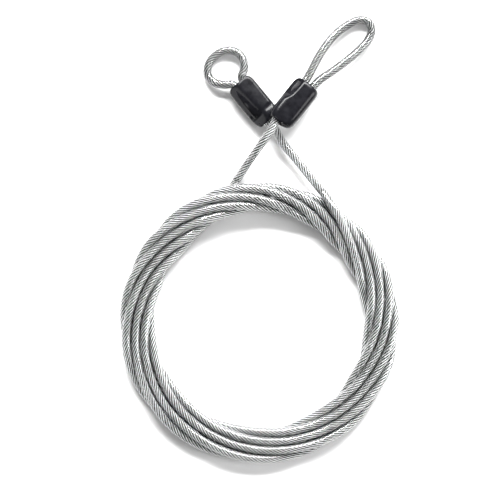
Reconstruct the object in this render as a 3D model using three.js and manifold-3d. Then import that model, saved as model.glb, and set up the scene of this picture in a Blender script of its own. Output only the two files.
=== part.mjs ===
// Double-loop security cable: a coil of jacketed steel wire rope whose two ends cross above the coil.
// Each end carries an aluminium crimp ferrule under a black vinyl cover and closes in an eye.
// Millimetres, +Z up. The cable lies flat: the coil's underside is at z = 0 and +Y points at the eyes.

import * as THREE from 'three';
import { mergeVertices } from 'three/addons/utils/BufferGeometryUtils.js';
import Module from 'manifold-3d';

// Driving dimensions.
const CABLE_D = 3.4;            // over the clear jacket
const ROPE_D = 2.4;             // the wire rope
const JACKET_BORE = 2.74;       // the rope has a little play in the jacket
const GAP = 0.3;                // between pieces that touch
const COIL_OUTER_R = 55;
const COIL_INNER_R = 41.2;
const COIL_HEIGHT = 7.2;        // two layers of cable
const COVER_LENGTH = 19;
const COVER_HALF_WIDTH = 5.5;
const COVER_FLATNESS = 0.7;     // thickness over width
const COVER_WALL = 0.75;
const FERRULE_START = 4.2;      // from the cover's cable end
const FERRULE_LENGTH = 13;
const FERRULE_HALF_WIDTH = 4.35;
const FERRULE_HALF_THICKNESS = 2.9;
const LEG_OFFSET = 1.85;        // of each rope leg from the ferrule's middle
const CRIMP_WIDTH = 2.8;
const CRIMP_DEPTH = 0.3;

const CABLE_SIDES = 8;
const CABLE_STEP = 2 * CABLE_D; // along a tail
const EYE_SIDES = 10;
const EYE_STEP = 0.6 * CABLE_D;

const COLOURS = { cable: 0xb9bcbd, jacket: 0xd9dddd, rope: 0xa7a9ab, ferrule: 0xc6c9cc, cover: 0x17181b };
const finish = (color, roughness, metalness) => new THREE.MeshStandardMaterial({ color, roughness, metalness });
const MATERIALS = {
  cable: finish(COLOURS.cable, 0.22, 0.55),
  jacket: finish(COLOURS.jacket, 0.1, 0),
  rope: finish(COLOURS.rope, 0.35, 0.9),
  ferrule: finish(COLOURS.ferrule, 0.4, 0.9),
  cover: finish(COLOURS.cover, 0.28, 0),
};

// The two ends. place is where the middle of the cover's cable end sits, heading is counter-clockwise
// from +X and dip is how far the eye points down, both in degrees. tail runs from the coil to the
// cover in the coil's frame. eye is the loop beyond the ferrule in the end's own frame: x along the
// cover, y to its left, z up.
const ENDS = [
  {
    side: 'right',
    place: [7.3, 78.1, 9.7],
    heading: 51.5,
    dip: 8.2,
    tail: [[-9, 56, 1.9], [-5.4, 61.2, 4.6], [-1.8, 66.4, 7.9], [1.4, 70.8, 9.7]],
    eye: [
      [20, 1.95, 0], [24, 2.6, 0], [31.5, 4, 0], [39.5, 4.4, 0], [47, 3.1, 0], [52, 0.8, 0],
      [54, -2.7, 0], [52.3, -5.9, 0], [48, -7.2, 0], [41.4, -6.7, 0], [34.5, -5.3, 0],
      [28, -3.6, 0], [24, -2.4, 0], [20, -1.9, 0],
    ],
  },
  {
    side: 'left',
    place: [4, 79.4, 3.95],
    heading: 129.6,
    dip: 0,
    tail: [[24.6, 51.4, 5.1], [19.5, 57.7, 4.8], [14, 64.5, 4.3], [9, 70.7, 4]],
    eye: [
      [20, 2.2, 0], [22, 4.7, -0.4], [25.3, 7.2, -0.9], [29.2, 7.3, -1.4], [32.3, 4.4, -1.9],
      [33.3, 0, -2.1], [32.2, -4.4, -1.9], [28.9, -7.2, -1.4], [24.9, -7.2, -0.9],
      [21.6, -4.9, -0.4], [20, -2.2, 0],
    ],
  },
];

// A regular polygon, as a closed outline.
function polygon(outline, diameter, sides) {
  for (let i = 0; i < sides; i++) {
    const turn = (2 * Math.PI * i) / sides;
    const [x, y] = [Math.cos(turn) * diameter / 2, Math.sin(turn) * diameter / 2];
    if (i) outline.lineTo(x, y);
    else outline.moveTo(x, y);
  }
  outline.closePath();
  return outline;
}

// A round tube along a smooth curve through the points, solid unless it has a bore.
function tube(points, diameter, step, sides = CABLE_SIDES, bore = 0) {
  const path = new THREE.CatmullRomCurve3(points, false, 'centripetal');
  const section = polygon(new THREE.Shape(), diameter, sides);
  if (bore) section.holes.push(polygon(new THREE.Path(), bore, sides));
  const steps = Math.max(1, Math.round(path.getLength() / step));
  return new THREE.ExtrudeGeometry(section, { steps, bevelEnabled: false, extrudePath: path });
}

// The outer shape of all the turns: a ring with a flat underside, flat top and rounded rims.
function coilRing() {
  const rim = COIL_HEIGHT / 2;
  const arcSteps = 8;
  const profile = [];
  for (const [middle, start] of [[COIL_OUTER_R - rim, -90], [COIL_INNER_R + rim, 90]]) {
    for (let i = 0; i <= arcSteps; i++) {
      const turn = THREE.MathUtils.degToRad(start + (180 * i) / arcSteps);
      profile.push(new THREE.Vector2(middle + rim * Math.cos(turn), rim + rim * Math.sin(turn)));
    }
  }
  profile.push(profile[0].clone());
  const ring = new THREE.LatheGeometry(profile, 72);
  return ring.rotateX(Math.PI / 2);   // the lathe turns about Y
}

// The vinyl cover: an oval sleeve along +X, open at the eye's end and drawn in round the cable at x = 0.
function coverSleeve() {
  const inner = COVER_HALF_WIDTH - COVER_WALL;
  const mouth = LEG_OFFSET + CABLE_D / 2 + GAP;
  const outline = [
    [0, mouth], [0, mouth + 0.4], [0.8, 4.7], [2.8, COVER_HALF_WIDTH], [COVER_LENGTH, COVER_HALF_WIDTH],
    [COVER_LENGTH, inner], [FERRULE_START - GAP, inner], [1.4, mouth], [0, mouth],
  ];
  const sleeve = new THREE.LatheGeometry(outline.map(([along, r]) => new THREE.Vector2(r, along)), 40);
  return sleeve.rotateZ(-Math.PI / 2).scale(1, 1, COVER_FLATNESS);
}

// A closed position-only mesh as a manifold solid, and back again.
const wasm = await Module();
wasm.setup();

function toSolid(geometry) {
  const bare = geometry.clone();
  bare.deleteAttribute('normal');
  bare.deleteAttribute('uv');
  const merged = mergeVertices(bare, 1e-5);
  return new wasm.Manifold(new wasm.Mesh({
    numProp: 3,
    vertProperties: new Float32Array(merged.attributes.position.array),
    triVerts: new Uint32Array(merged.index.array),
  }));
}

function toGeometry(solid) {
  const mesh = solid.getMesh();
  const geometry = new THREE.BufferGeometry();
  geometry.setAttribute('position', new THREE.BufferAttribute(mesh.vertProperties, 3));
  geometry.setIndex(new THREE.BufferAttribute(mesh.triVerts, 1));
  return geometry;
}

// The crimp ferrule: an oval aluminium sleeve with two bores side by side and two pressed bands.
function ferruleSleeve() {
  const arc = FERRULE_HALF_THICKNESS;
  const reach = FERRULE_HALF_WIDTH - arc;
  const section = new THREE.Shape();
  section.absarc(reach, 0, arc, -Math.PI / 2, Math.PI / 2);
  section.absarc(-reach, 0, arc, Math.PI / 2, 1.5 * Math.PI);
  section.closePath();
  for (const side of [-1, 1]) {
    const bore = new THREE.Path();
    bore.absarc(side * LEG_OFFSET, 0, ROPE_D / 2 + GAP, 0, 2 * Math.PI);
    section.holes.push(bore);
  }
  const sweep = { depth: FERRULE_LENGTH, bevelEnabled: false, curveSegments: 10 };
  const body = new THREE.ExtrudeGeometry(section, sweep);
  body.rotateX(Math.PI / 2).rotateZ(Math.PI / 2).translate(FERRULE_START, 0, 0);
  let solid = toSolid(body);
  for (const along of [0.28, 0.72]) {
    for (const face of [-1, 1]) {
      const press = new THREE.BoxGeometry(CRIMP_WIDTH, 2 * COVER_HALF_WIDTH, 2);
      const height = face * (FERRULE_HALF_THICKNESS - CRIMP_DEPTH + 1);
      press.translate(FERRULE_START + along * FERRULE_LENGTH, 0, height);
      solid = solid.subtract(toSolid(press));
    }
  }
  return toGeometry(solid);
}

// One bare rope leg inside the ferrule, between two distances along the end.
function ropeLeg(from, to, y) {
  const points = [from, (from + to) / 2, to].map((x) => new THREE.Vector3(x, y, 0));
  return tube(points, ROPE_D, to - from, EYE_SIDES);
}

function named(name, geometry, material) {
  const mesh = new THREE.Mesh(geometry, MATERIALS[material]);
  mesh.name = name;
  return mesh;
}

// The lock in the coil's own frame, with the coil's axis on Z.
const lock = new THREE.Group();
lock.add(named('cable_coil', coilRing(), 'cable'));

for (const { side, place, heading, dip, tail, eye } of ENDS) {
  const end = new THREE.Group();
  end.position.set(...place);
  end.rotation.order = 'ZYX';
  end.rotation.set(0, THREE.MathUtils.degToRad(dip), THREE.MathUtils.degToRad(heading));
  end.updateMatrix();
  const outOf = (x, y, z) => new THREE.Vector3(x, y, z).applyMatrix4(end.matrix);

  const ferruleEnd = FERRULE_START + FERRULE_LENGTH;
  end.add(named(`cover_${side}`, coverSleeve(), 'cover'));
  end.add(named(`ferrule_${side}`, ferruleSleeve(), 'ferrule'));
  end.add(named(`rope_main_leg_${side}`, ropeLeg(FERRULE_START, ferruleEnd, LEG_OFFSET), 'rope'));
  end.add(named(`rope_return_leg_${side}`, ropeLeg(FERRULE_START + GAP, ferruleEnd, -LEG_OFFSET), 'rope'));

  const eyeStart = ferruleEnd + GAP;
  const loop = [[eyeStart, LEG_OFFSET, 0], ...eye, [eyeStart, -LEG_OFFSET, 0]];
  const eyePoints = loop.map((p) => new THREE.Vector3(...p));
  end.add(named(`eye_jacket_${side}`, tube(eyePoints, CABLE_D, EYE_STEP, EYE_SIDES, JACKET_BORE), 'jacket'));
  end.add(named(`eye_rope_${side}`, tube(eyePoints, ROPE_D, EYE_STEP, EYE_SIDES), 'rope'));
  lock.add(end);

  const tailPoints = tail.map((p) => new THREE.Vector3(...p));
  tailPoints.push(outOf(-3, 0.6, 0), outOf(0.8, 1.5, 0), outOf(FERRULE_START - GAP, LEG_OFFSET, 0));
  lock.add(named(`tail_${side}`, tube(tailPoints, CABLE_D, CABLE_STEP), 'cable'));
}

// The origin is the middle of the whole object's footprint.
lock.updateMatrixWorld(true);
const middle = new THREE.Box3().setFromObject(lock, true).getCenter(new THREE.Vector3());
lock.position.set(-middle.x, -middle.y, 0);

const cableLock = new THREE.Group();
cableLock.add(lock);

export default cableLock;
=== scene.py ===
"""A coiled double-loop security cable: steel wire rope in a clear jacket, with crimped and covered eyes."""
import math

import bpy
import numpy as np
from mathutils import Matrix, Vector


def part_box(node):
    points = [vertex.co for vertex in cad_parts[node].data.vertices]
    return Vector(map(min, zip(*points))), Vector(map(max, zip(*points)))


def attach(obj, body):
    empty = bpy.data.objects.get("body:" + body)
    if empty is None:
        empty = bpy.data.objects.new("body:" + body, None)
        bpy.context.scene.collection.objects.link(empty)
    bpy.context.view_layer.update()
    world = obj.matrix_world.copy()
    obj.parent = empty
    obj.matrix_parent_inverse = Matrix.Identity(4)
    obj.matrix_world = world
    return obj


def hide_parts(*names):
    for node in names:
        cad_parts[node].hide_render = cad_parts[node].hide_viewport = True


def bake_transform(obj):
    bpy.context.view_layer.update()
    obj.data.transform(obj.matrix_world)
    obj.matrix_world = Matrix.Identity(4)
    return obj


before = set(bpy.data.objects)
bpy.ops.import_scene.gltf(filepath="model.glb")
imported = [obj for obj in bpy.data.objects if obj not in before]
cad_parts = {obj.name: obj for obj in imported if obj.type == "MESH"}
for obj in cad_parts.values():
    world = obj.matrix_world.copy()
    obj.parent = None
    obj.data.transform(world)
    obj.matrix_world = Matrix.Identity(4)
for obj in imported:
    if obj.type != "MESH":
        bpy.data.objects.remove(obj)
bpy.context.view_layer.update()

MM = 0.001

# Driving dimensions in millimetres, as in the CAD model.
CABLE_D = 3.4
JACKET_R = CABLE_D / 2
ROPE_R = 1.34
STRANDS = 8
LAY = 13.8
LEG_OFFSET = 1.85
FERRULE_START = 4.2
FERRULE_END = 17.2
GAP = 0.3

# The coil: one winding whose turns run round in a flat bundle, changing places as they go.
TURNS = 7
BUNDLE_R = 48.1
STRAND_PITCH = 1.06 * CABLE_D
BUNDLE_END_R = 0.55 * CABLE_D
TURN_STEP_DEG = 4
TWIST_DEG = 168      # a strand goes round the bundle once in this, so that seven strands share it evenly
TWIST_SWAY_DEG = 25.8   # the twist is tighter on one side of the coil than on the other
SETTLE_STEP = 3.4

# ends: where the middle of each cover's cable end sits in the coil's frame, its heading and dip in
# degrees, the tail's route from the coil and the eye's in the end's frame.
ENDS = {
    "right": {
        "place": (7.3, 78.1, 9.7),
        "heading": 51.5,
        "dip": 8.2,
        "tail": [(-9, 56, 1.9), (-5.4, 61.2, 4.6), (-1.8, 66.4, 7.9), (1.4, 70.8, 9.7)],
        "eye": [
            (20, 1.95, 0), (24, 2.6, 0), (31.5, 4, 0), (39.5, 4.4, 0), (47, 3.1, 0), (52, 0.8, 0),
            (54, -2.7, 0), (52.3, -5.9, 0), (48, -7.2, 0), (41.4, -6.7, 0), (34.5, -5.3, 0),
            (28, -3.6, 0), (24, -2.4, 0), (20, -1.9, 0),
        ],
    },
    "left": {
        "place": (4, 79.4, 3.95),
        "heading": 129.6,
        "dip": 0,
        "tail": [(24.6, 51.4, 5.1), (19.5, 57.7, 4.8), (14, 64.5, 4.3), (9, 70.7, 4)],
        "eye": [
            (20, 2.2, 0), (22, 4.7, -0.4), (25.3, 7.2, -0.9), (29.2, 7.3, -1.4), (32.3, 4.4, -1.9),
            (33.3, 0, -2.1), (32.2, -4.4, -1.9), (28.9, -7.2, -1.4), (24.9, -7.2, -0.9),
            (21.6, -4.9, -0.4), (20, -2.2, 0),
        ],
    },
}

coil_low, coil_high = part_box("cable_coil")
COIL_CENTRE = (coil_low + coil_high) / 2 / MM
COIL_CENTRE.z = 0


def camera():
    """Straight down on the coil and its ends, as the cable is seen lying in a palm."""
    view_width, height = 197.0, 640.0
    data = bpy.data.cameras.new("camera")
    data.sensor_width = 36
    data.lens = data.sensor_width / 2 * height / (view_width / 2)
    data.clip_start = 0.01
    eye = bpy.data.objects.new("camera", data)
    eye.location = Vector((COIL_CENTRE.x - 3.7, COIL_CENTRE.y + 28.6, height)) * MM
    bpy.context.scene.collection.objects.link(eye)
    bpy.context.scene.camera = eye


# ---------------------------------------------------------------- the cable's route


def smooth_line(points, step):
    """A centripetal Catmull-Rom line through the points, in even steps."""
    p = np.array(points, float)
    p = np.vstack([2 * p[0] - p[1], p, 2 * p[-1] - p[-2]])
    fine = []
    for a, b, c, d in zip(p[:-3], p[1:-2], p[2:-1], p[3:]):
        t = np.cumsum([0] + [math.sqrt(np.linalg.norm(y - x)) for x, y in ((a, b), (b, c), (c, d))])
        u = np.linspace(t[1], t[2], 24, endpoint=False)[:, None]
        ab = ((t[1] - u) * a + (u - t[0]) * b) / (t[1] - t[0])
        bc = ((t[2] - u) * b + (u - t[1]) * c) / (t[2] - t[1])
        cd = ((t[3] - u) * c + (u - t[2]) * d) / (t[3] - t[2])
        abc = ((t[2] - u) * ab + (u - t[0]) * bc) / (t[2] - t[0])
        bcd = ((t[3] - u) * bc + (u - t[1]) * cd) / (t[3] - t[1])
        fine.append(((t[2] - u) * abc + (u - t[1]) * bcd) / (t[2] - t[1]))
    fine.append(p[-2][None])
    return even(np.vstack(fine), step)


def lengths(line):
    return np.concatenate([[0], np.cumsum(np.linalg.norm(np.diff(line, axis=0), axis=1))])


def even(line, step):
    """The same line in steps of about that length."""
    along = lengths(line)
    at = np.linspace(0, along[-1], max(3, round(along[-1] / step) + 1))
    return np.stack([np.interp(at, along, line[:, k]) for k in range(3)], axis=1)


def end_axes(end):
    """The end's frame: its origin and its x, y and z axes, in the coil's frame."""
    heading, dip = math.radians(end["heading"]), math.radians(end["dip"])
    x = np.array([math.cos(heading) * math.cos(dip), math.sin(heading) * math.cos(dip), -math.sin(dip)])
    y = np.array([-math.sin(heading), math.cos(heading), 0])
    return np.array(end["place"], float), np.stack([x, y, np.cross(x, y)])


def out_of(end, points):
    place, axes = end_axes(end)
    return place + np.array(points, float) @ axes


def bump(angle, centre, half_width):
    """1 at the centre, falling smoothly to 0 at half_width degrees either side."""
    off = np.abs((angle - centre + 180) % 360 - 180) / half_width
    return np.where(off < 1, (1 - off**2) ** 2, 0.0)


START_DEG, END_DEG = 48.0, 48.0 + 6 * 360 + 270.0


def around_bundle(share, flat, end_r):
    """A place on the bundle's outline, by the share of the way round from the middle of its outer end:
    over the top, round the inner end and back underneath. Outwards and up from the bundle's middle."""
    quarter = math.pi * end_r / 2
    s = share * (2 * flat + 4 * quarter)
    if s < quarter or s > 3 * quarter + 2 * flat:
        a = s / end_r if s < quarter else (s - 2 * flat) / end_r
        return flat / 2 + end_r * math.cos(a), end_r * math.sin(a)
    if s < quarter + flat:
        return flat / 2 - (s - quarter), end_r
    if s < 3 * quarter + flat:
        a = (s - flat) / end_r
        return -flat / 2 + end_r * math.cos(a), end_r * math.sin(a)
    return -flat / 2 + (s - 3 * quarter - flat), -end_r


def winding():
    """The turns before they settle, by clock angle from +Y: the bundle's strands move across the top
    from its outer to its inner edge, dive and come back underneath."""
    turn = np.arange(START_DEG, END_DEG + 1, TURN_STEP_DEG)
    unrolled = turn - 15 + TWIST_SWAY_DEG * (np.sin(np.radians(turn - 20)) + 0.087)
    phase = unrolled / TWIST_DEG
    # One strand fewer passes between the tails, so the others close up there.
    few = bump(turn, 3, 60)
    passed = np.clip(np.round(turn / 360), 1, TURNS - 1)
    phase = phase + few * (passed - TURNS / 2) / (TURNS * (TURNS - 1))
    phase = phase + 0.008 * np.sin(np.radians(1.37 * turn + 40))
    end_r = BUNDLE_END_R + 0.8 * few
    flat = STRAND_PITCH * (TURNS - few) / 2 - math.pi * end_r
    places = [around_bundle(*each) for each in zip(phase % 1, flat, end_r)]
    outwards, up = np.array(places).T
    radius = BUNDLE_R + 1.4 * few + outwards
    radius += 0.12 * np.sin(np.radians(0.83 * turn + 15)) * np.cos(np.radians(0.31 * turn))
    # The bundle rides over the right tail, which leaves underneath it.
    height = JACKET_R + end_r + up + 2.9 * bump(turn, 342, 48)
    angle = np.radians(turn)
    return np.stack([radius * np.sin(angle), radius * np.cos(angle), height], axis=1)


# Where the left tail comes in over the outer turns, and where the right tail leaves beneath them.
WAY_IN = [(24.6, 51.4, 5.1), (25.9, 49.6, 5.6), (28.3, 45.6, 7.2), (31.4, 40.9, 7.6)]
WAY_OUT = [(-39.9, 19.6, 5.4), (-34.6, 25.2, 4.6), (-28.9, 31.3, 3.2), (-23.6, 36.7, 1.9), (-18, 42.6, 1.62),
           (-13.3, 49.2, 1.62), (-9, 56, 1.9)]


def settle(line, fixed, rounds=240):
    """Turns that lie in each other are pushed apart until they only touch; the push is smoothed along the
    cable, which is stiff, and nothing goes below the floor. The fixed points stay."""
    push = np.zeros_like(line)
    n = len(line)
    index = np.arange(n)
    near = np.abs(index[:, None] - index[None, :-1] - 0.5) > 4
    clear = 1.01 * CABLE_D
    for _ in range(rounds):
        p = line + push
        a, b = p[:-1], p[1:]
        ab = b - a
        t = ((p[:, None] - a[None]) * ab[None]).sum(2) / (ab * ab).sum(1)[None]
        away = p[:, None] - (a[None] + np.clip(t, 0, 1)[..., None] * ab[None])
        gap = np.linalg.norm(away, axis=2)
        short = np.where(near & (gap < clear), clear - gap, 0)
        move = (away / np.maximum(gap, 1e-6)[..., None] * short[..., None]).sum(1)
        most = np.maximum(np.count_nonzero(short > 0, axis=1), 1)
        push += 0.55 * move / most[:, None] ** 0.5
        push *= 0.995
        push[1:-1] += 0.35 * ((push[:-2] + push[2:]) / 2 - push[1:-1])
        push[:, 2] = np.maximum(push[:, 2], JACKET_R + 0.03 - line[:, 2])
        push[fixed] = 0
    return line + push


def cable_route(step):
    """The whole cable from the left eye's return end to the right eye's, in the coil's frame and in even
    steps, with the index where each stretch starts."""
    joined, starts = [], {}

    def add(name, line):
        starts[name] = sum(len(x) for x in joined)
        joined.append(line[:-1])

    eye = {}
    for side, end in ENDS.items():
        loop = [(FERRULE_END + GAP, LEG_OFFSET, 0), *end["eye"], (FERRULE_END + GAP, -LEG_OFFSET, 0)]
        eye[side] = smooth_line(out_of(end, loop), step)
    tail = {}
    for side, end in ENDS.items():
        entry = out_of(end, [(-3, 0.6, 0), (0.8, 1.5, 0), (FERRULE_START - GAP, LEG_OFFSET, 0)])
        tail[side] = smooth_line([*end["tail"], *entry], step)
    through = [(FERRULE_START - GAP, LEG_OFFSET, 0), (FERRULE_END + GAP, LEG_OFFSET, 0)]
    leg = {side: even(out_of(end, through), step) for side, end in ENDS.items()}
    turns = winding()
    coarse = smooth_line([*WAY_IN, *turns[3:-6], *WAY_OUT], SETTLE_STEP)
    along = lengths(coarse)
    fixed = (along < 3) | (along > along[-1] - 24)
    coil = smooth_line(settle(coarse, fixed), step)
    add("eye_left", eye["left"][::-1])
    add("leg_left", leg["left"][::-1])
    add("tail_left", tail["left"][::-1])
    add("coil", coil)
    add("tail_right", tail["right"])
    add("leg_right", leg["right"])
    add("eye_right", eye["right"])
    starts["end"] = sum(len(x) for x in joined)
    joined.append(eye["right"][-1:])
    return np.vstack(joined), starts


def carried_frames(line):
    """A side vector at each point, carried along without twisting, and the other at right angles."""
    tangent = np.gradient(line, axis=0)
    tangent /= np.linalg.norm(tangent, axis=1)[:, None]
    side = np.zeros_like(line)
    side[0] = np.cross(tangent[0], [0, 0, 1])
    side[0] /= np.linalg.norm(side[0])
    for i in range(1, len(line)):
        s = side[i - 1] - tangent[i] * side[i - 1].dot(tangent[i])
        side[i] = s / np.linalg.norm(s)
    return side, np.cross(tangent, side)


# ---------------------------------------------------------------- meshes


def grid_mesh(name, rings, material, uv=None, groove=None, caps=False, joined=False):
    """A mesh of closed rings of points in millimetres in the row frame, shaded smooth. joined runs the
    last ring back to the first."""
    rings = np.asarray(rings, float)
    n, m = rings.shape[:2]
    here = np.arange(n * m).reshape(n, m)
    if joined:
        here = np.vstack([here, here[:1]])
    quads = np.stack([here[:-1], np.roll(here, -1, 1)[:-1], np.roll(here, -1, 1)[1:], here[1:]], axis=2)
    faces = [tuple(q) for q in quads.reshape(-1, 4).tolist()]
    if caps:
        faces += [tuple(here[0, ::-1].tolist()), tuple(here[-1].tolist())]
    mesh = bpy.data.meshes.new(name)
    mesh.from_pydata((rings.reshape(-1, 3) * MM).tolist(), [], faces)
    mesh.polygons.foreach_set("use_smooth", [True] * len(faces))
    if groove is not None:
        layer = mesh.attributes.new("groove", "FLOAT", "POINT")
        layer.data.foreach_set("value", np.asarray(groove, np.float32).ravel())
    if uv is not None:
        for axis, values in zip(("lay_u", "lay_v"), uv):
            layer = mesh.attributes.new(axis, "FLOAT", "POINT")
            layer.data.foreach_set("value", np.asarray(values, np.float32).ravel())
    mesh.materials.append(material)
    mesh.update()
    obj = bpy.data.objects.new(name, mesh)
    bpy.context.scene.collection.objects.link(obj)
    return obj


def rope_section():
    """One turn round the rope's strands: angle, radius, how deep in a groove and the place on its strand."""
    strand = ROPE_R * math.sin(math.pi / STRANDS) / (1 + math.sin(math.pi / STRANDS))
    centre = ROPE_R - strand
    angle, radius, groove, place = [], [], [], []
    for k in range(STRANDS):
        for turn in (-82, -48, -16, 16, 48, 82):
            a = math.radians(turn)
            x, y = centre + strand * math.cos(a), strand * math.sin(a)
            angle.append(2 * math.pi * k / STRANDS + math.atan2(y, x))
            radius.append(math.hypot(x, y))
            groove.append(abs(turn) / 82)
            place.append(turn / 164 + 0.5)
    return np.array(angle), np.array(radius), np.array(groove), np.array(place)


class Cable:
    """The whole cable's line and frames, from which each stretch's rope and jacket are swept."""

    def __init__(self, step):
        line, self.starts = cable_route(step)
        self.line = line + np.array(COIL_CENTRE)
        self.along = lengths(self.line)
        self.side, self.other = carried_frames(self.line)
        self.section = rope_section()

    def part(self, first, last):
        names = list(self.starts)
        return slice(self.starts[first], self.starts[names[names.index(last) + 1]] + 1)

    def rope(self, name, first, last, material):
        cut = self.part(first, last)
        angle, radius, groove, place = self.section
        lay = 2 * math.pi * self.along[cut] / LAY
        a = angle[None] + lay[:, None]
        rings = self.line[cut][:, None] + radius[None, :, None] * (
            np.cos(a)[..., None] * self.side[cut][:, None] + np.sin(a)[..., None] * self.other[cut][:, None]
        )
        deep = np.broadcast_to(groove, a.shape)
        u = np.broadcast_to(place, a.shape)
        v = np.broadcast_to(self.along[cut][:, None], a.shape)
        return grid_mesh(name, rings, material, uv=(u, v), groove=deep, caps=True)

    def jacket(self, name, first, last, material, sides=20):
        cut = self.part(first, last)
        a = np.linspace(0, 2 * math.pi, sides, endpoint=False)
        rings = self.line[cut][:, None] + JACKET_R * (
            np.cos(a)[None, :, None] * self.side[cut][:, None]
            + np.sin(a)[None, :, None] * self.other[cut][:, None]
        )
        return grid_mesh(name, rings, material)

    def path(self, first, last):
        return self.line[self.part(first, last)] * MM


# ---------------------------------------------------------------- materials


def new_material(name):
    material = bpy.data.materials.new(name)
    material.use_nodes = True
    nodes = material.node_tree.nodes
    return material, nodes, material.node_tree.links, nodes["Principled BSDF"]


def math_node(nodes, links, operation, *values):
    node = nodes.new("ShaderNodeMath")
    node.operation = operation
    for socket, value in zip(node.inputs, values):
        if isinstance(value, (int, float)):
            socket.default_value = value
        else:
            links.new(value, socket)
    return node.outputs[0]


def colour_ramp(nodes, links, factor, stops):
    ramp = nodes.new("ShaderNodeValToRGB")
    links.new(factor, ramp.inputs[0])
    elements = ramp.color_ramp.elements
    while len(elements) < len(stops):
        elements.new(0.5)
    for element, (place, colour) in zip(elements, stops):
        element.position = place
        element.color = (*colour, 1)
    return ramp.outputs[0]


def attribute(nodes, name):
    node = nodes.new("ShaderNodeAttribute")
    node.attribute_name = name
    return node.outputs["Fac"]


def wire_rope(name, shade):
    """Galvanised strands with the wires laid across each. The colour carries painted shade: it goes near
    black deep in the grooves between strands and along the lines between wires, and stays bright on the
    crowns; random wear noise is added.
    """
    material, nodes, links, shader = new_material(name)
    groove, u, v = (attribute(nodes, n) for n in ("groove", "lay_u", "lay_v"))
    wires = math_node(nodes, links, "MULTIPLY_ADD", u, 3.0, math_node(nodes, links, "MULTIPLY", v, -0.55))
    ripple = math_node(nodes, links, "SINE", math_node(nodes, links, "MULTIPLY", wires, 2 * math.pi))
    ridge = math_node(nodes, links, "ABSOLUTE", ripple)
    noise = nodes.new("ShaderNodeTexNoise")
    noise.inputs["Scale"].default_value = 900
    noise.inputs["Detail"].default_value = 4
    coordinates = nodes.new("ShaderNodeTexCoord")
    links.new(coordinates.outputs["Object"], noise.inputs["Vector"])
    worn = math_node(nodes, links, "MULTIPLY_ADD", noise.outputs["Fac"], 0.5, -0.25)
    # Painted shade: how deep a point lies in a groove between strands, plus random wear noise, then the lines
    # between wires, all push the colour towards black.
    painted_shade_and_wear = math_node(nodes, links, "ADD", math_node(nodes, links, "POWER", groove, 1.6), worn)
    painted_shade_and_wear = math_node(nodes, links, "MULTIPLY_ADD", math_node(nodes, links, "SUBTRACT", 1, ridge), 0.14, painted_shade_and_wear)
    # Painted shade ramp: near white on the crowns, falling to near black deep in the grooves.
    stops = [(0.0, 1.0), (0.34, 0.8), (0.62, 0.14), (0.88, 0.01)]
    colour = colour_ramp(nodes, links, painted_shade_and_wear, [(at, (grey * shade,) * 3) for at, grey in stops])
    links.new(colour, shader.inputs["Base Color"])
    shader.inputs["Metallic"].default_value = 0.9
    shader.inputs["Roughness"].default_value = 0.3
    bump_node = nodes.new("ShaderNodeBump")
    bump_node.inputs["Strength"].default_value = 0.5
    bump_node.inputs["Distance"].default_value = 0.00006
    links.new(ridge, bump_node.inputs["Height"])
    links.new(bump_node.outputs[0], shader.inputs["Normal"])
    return material


def clear_jacket():
    """Smooth clear vinyl, a little milky."""
    material, _, _, shader = new_material("clear_jacket")
    shader.inputs["Base Color"].default_value = (0.97, 0.98, 0.98, 1)
    shader.inputs["Roughness"].default_value = 0.06
    shader.inputs["IOR"].default_value = 1.5
    shader.inputs["Transmission Weight"].default_value = 1
    return material


def black_vinyl():
    """Glossy black vinyl with faint moulding ripples and scuffs."""
    material, nodes, links, shader = new_material("black_vinyl")
    coordinates = nodes.new("ShaderNodeTexCoord")
    noise = nodes.new("ShaderNodeTexNoise")
    noise.inputs["Scale"].default_value = 420
    noise.inputs["Detail"].default_value = 5
    links.new(coordinates.outputs["Object"], noise.inputs["Vector"])
    stops = [(0.3, (0.003, 0.003, 0.004)), (0.75, (0.008, 0.008, 0.01))]
    colour = colour_ramp(nodes, links, noise.outputs["Fac"], stops)
    links.new(colour, shader.inputs["Base Color"])
    rough = math_node(nodes, links, "MULTIPLY_ADD", noise.outputs["Fac"], 0.14, 0.13)
    links.new(rough, shader.inputs["Roughness"])
    bump_node = nodes.new("ShaderNodeBump")
    shader.inputs["Specular IOR Level"].default_value = 0.16
    bump_node.inputs["Strength"].default_value = 0.25
    bump_node.inputs["Distance"].default_value = 0.0001
    links.new(noise.outputs["Fac"], bump_node.inputs["Height"])
    links.new(bump_node.outputs[0], shader.inputs["Normal"])
    return material


def crimped_aluminium():
    """Plain drawn aluminium, unevenly dulled."""
    material, nodes, links, shader = new_material("crimped_aluminium")
    coordinates = nodes.new("ShaderNodeTexCoord")
    noise = nodes.new("ShaderNodeTexNoise")
    noise.inputs["Scale"].default_value = 700
    noise.inputs["Detail"].default_value = 6
    links.new(coordinates.outputs["Object"], noise.inputs["Vector"])
    stops = [(0.25, (0.55, 0.56, 0.58)), (0.8, (0.85, 0.86, 0.87))]
    colour = colour_ramp(nodes, links, noise.outputs["Fac"], stops)
    links.new(colour, shader.inputs["Base Color"])
    shader.inputs["Metallic"].default_value = 1
    rough = math_node(nodes, links, "MULTIPLY_ADD", noise.outputs["Fac"], 0.3, 0.25)
    links.new(rough, shader.inputs["Roughness"])
    return material


# ---------------------------------------------------------------- the covers


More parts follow.
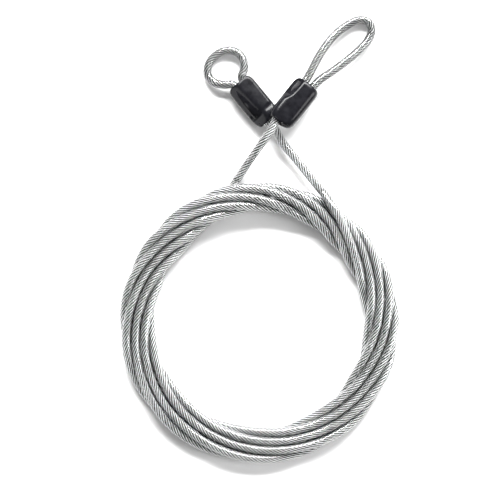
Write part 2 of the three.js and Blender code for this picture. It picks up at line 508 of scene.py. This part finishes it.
# Round the cover from inside its cable end, over the outside and back through the bore: x, the middle's
# y, half width and half height.
COVER_SKIN = [
    (3.3, 1.6, 2.0, 1.95), (1.2, 1.4, 2.05, 1.95), (0.35, 1.2, 2.2, 2.1), (0, 1.0, 2.7, 2.4),
    (0.12, 0.7, 3.5, 2.8),
    (0.55, 0.3, 4.3, 3.2), (1.3, 0.1, 4.9, 3.5), (2.3, 0, 5.27, 3.7), (3.4, 0, 5.42, 3.8), (5, 0, 5.5, 3.85),
    (9.5, 0, 5.5, 3.85), (14, 0, 5.5, 3.85), (16.6, 0, 5.45, 3.83), (17.8, 0, 5.22, 3.7), (18.6, 0, 4.8, 3.4),
    (19, 0, 4.35, 2.95), (18.95, 0, 4, 2.4), (18.5, 0, 3.75, 2), (17.7, 0, 3.68, 1.9),
]
COVER_BORE = [(17.5, 0, 4.65, 3.2), (3.9, 0, 4.65, 3.2)]


def cover(name, end, crease, material):
    """A vinyl cover shrunk over the flattened ferrule: rounded at both ends, with its lips turned in
    round the cable, and creased along its top where the crimp's flat meets its side."""
    skin = np.array(COVER_SKIN)
    along = lengths(skin[:, [0, 2, 3]])
    curve = smooth_line(skin[:, [0, 2, 3]], 0.22)
    middle = np.interp(lengths(curve) / lengths(curve)[-1], along / along[-1], skin[:, 1])
    bore = np.array(COVER_BORE)
    x_at = np.concatenate([curve[:, 0], bore[:, 0]])
    y_at = np.concatenate([middle, bore[:, 1]])
    wide = np.concatenate([curve[:, 1], bore[:, 2]])
    high = np.concatenate([curve[:, 2], bore[:, 3]])
    a = np.linspace(0, 2 * math.pi, 88, endpoint=False)
    # A rounded oval, squarer than an ellipse.
    power = 2 / 2.6
    across = np.sign(np.cos(a)) * np.abs(np.cos(a)) ** power
    upwards = np.sign(np.sin(a)) * np.abs(np.sin(a)) ** power
    x = np.repeat(x_at[:, None], len(a), axis=1)
    y = y_at[:, None] + wide[:, None] * across
    z = high[:, None] * upwards
    # The crease: the top is a flat that meets the side in a soft ridge.
    ridge = np.interp(x, crease["x"], crease["y"])
    flat = crease["height"] - crease["right_slope"] * np.maximum(ridge - y, 0)
    side = crease["height"] - crease["left_slope"] * np.maximum(y - ridge, 0)
    roof = np.minimum(flat, side)
    for centre, half, depth in crease["wrinkles"]:
        roof = roof - depth * bump(x * 10, centre * 10, half * 10)
    soft = 0.16
    top = -soft * np.logaddexp(-z / soft, -roof / soft)
    outer = np.arange(len(x_at))[:, None] < len(curve)
    z = np.where((z > 0) & outer, np.where(high[:, None] > 2.2, top, z), z)
    place, axes = end_axes(end)
    points = place + np.stack([x, y, z], axis=2) @ axes + np.array(COIL_CENTRE)
    return grid_mesh(name, points, material, joined=True)


CREASES = {
    "right": {
        "x": [0, 5, 7, 9, 11, 13, 16, 19], "y": [5.6, 5.1, 4.2, 3.0, 2.1, 1.8, 1.6, 1.6],
        "height": 3.7, "right_slope": 0.02, "left_slope": 0.75, "wrinkles": [],
    },
    "left": {
        "x": [0, 4, 8, 12, 15, 19], "y": [-0.6, -0.3, 0.2, 0.5, 0.8, 1.1],
        "height": 3.78, "right_slope": 0.24, "left_slope": 0.5, "wrinkles": [(4.4, 1.5, 0.22)],
    },
}


# ---------------------------------------------------------------- build

camera()
cable = Cable(0.85)
ROPE = wire_rope("galvanised_rope", 1.0)
# The eyes' rope is the same rope colour at about half brightness: painted shade, not a duller rope.
SHADED_EYE_ROPE = wire_rope("galvanised_rope_painted_shade", 0.52)
JACKET, VINYL, ALUMINIUM = clear_jacket(), black_vinyl(), crimped_aluminium()


def stretch(label, node, first, last, place):
    """One stretch's jacket and the rope in it. place either makes each of them ride on a body or bakes it
    where it is.
    """
    rope = cable.rope(f"{label}_rope", first, last, SHADED_EYE_ROPE if label.startswith("eye") else ROPE)
    jacket = cable.jacket(f"{label}_jacket", first, last, JACKET)
    for obj in (rope, jacket):
        place(obj)
    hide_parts(node)
    if node.startswith("eye_jacket"):
        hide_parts(node.replace("jacket", "rope"))
    return jacket, rope


coil_jacket, coil_rope = stretch("coil", "cable_coil", "coil", "coil", lambda o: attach(o, "coil"))
path = cable.path("coil", "coil")

for side in ENDS:
    body = f"{side}_end"
    path = cable.path(f"tail_{side}", f"tail_{side}")
    if side == "left":
        path = path[::-1]
    jacket, rope = stretch(f"tail_{side}", f"tail_{side}", f"tail_{side}", f"tail_{side}",
                           lambda o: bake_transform(o))
    jacket, rope = stretch(f"eye_{side}", f"eye_jacket_{side}", f"eye_{side}", f"eye_{side}",
                           lambda o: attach(o, body))
    path = cable.path(f"eye_{side}", f"eye_{side}")
    shell = cover(f"cover_{side}_vinyl", ENDS[side], CREASES[side], VINYL)
    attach(shell, body)
    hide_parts(f"cover_{side}")
    for node, material in ((f"ferrule_{side}", ALUMINIUM), (f"rope_main_leg_{side}", ROPE),
                           (f"rope_return_leg_{side}", ROPE)):
        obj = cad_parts[node]
        obj.data.materials.clear()
        obj.data.materials.append(material)


# ---------------------------------------------------------------- floor and light


def floor():
    bpy.ops.mesh.primitive_plane_add(size=6, location=(0, 0, -0.0002))
    plane = bpy.context.object
    plane.name = "floor"
    material, _, _, shader = new_material("floor_white")
    shader.inputs["Base Color"].default_value = (0.93, 0.93, 0.93, 1)
    shader.inputs["Roughness"].default_value = 0.9
    plane.data.materials.append(material)


def softbox(name, location, size, power, target=(0, 0, 0)):
    data = bpy.data.lights.new(name, "AREA")
    data.shape = "RECTANGLE"
    data.size, data.size_y = size
    data.energy = power
    lamp = bpy.data.objects.new(name, data)
    lamp.location = location
    lamp.rotation_euler = (Vector(target) - Vector(location)).to_track_quat("-Z", "Y").to_euler()
    bpy.context.scene.collection.objects.link(lamp)


def lights():
    softbox("key", (0.1, 0.85, 0.75), (1.1, 0.42), 60)
    softbox("side", (0.95, -0.1, 0.6), (0.35, 0.7), 7)
    softbox("low", (-0.9, -0.5, 0.7), (0.45, 0.45), 3)
    world = bpy.data.worlds.new("studio")
    world.use_nodes = True
    world.node_tree.nodes["Background"].inputs["Color"].default_value = (1, 1, 1, 1)
    world.node_tree.nodes["Background"].inputs["Strength"].default_value = 0.25
    bpy.context.scene.world = world
    bpy.context.scene.view_settings.view_transform = "Standard"


floor()
lights()
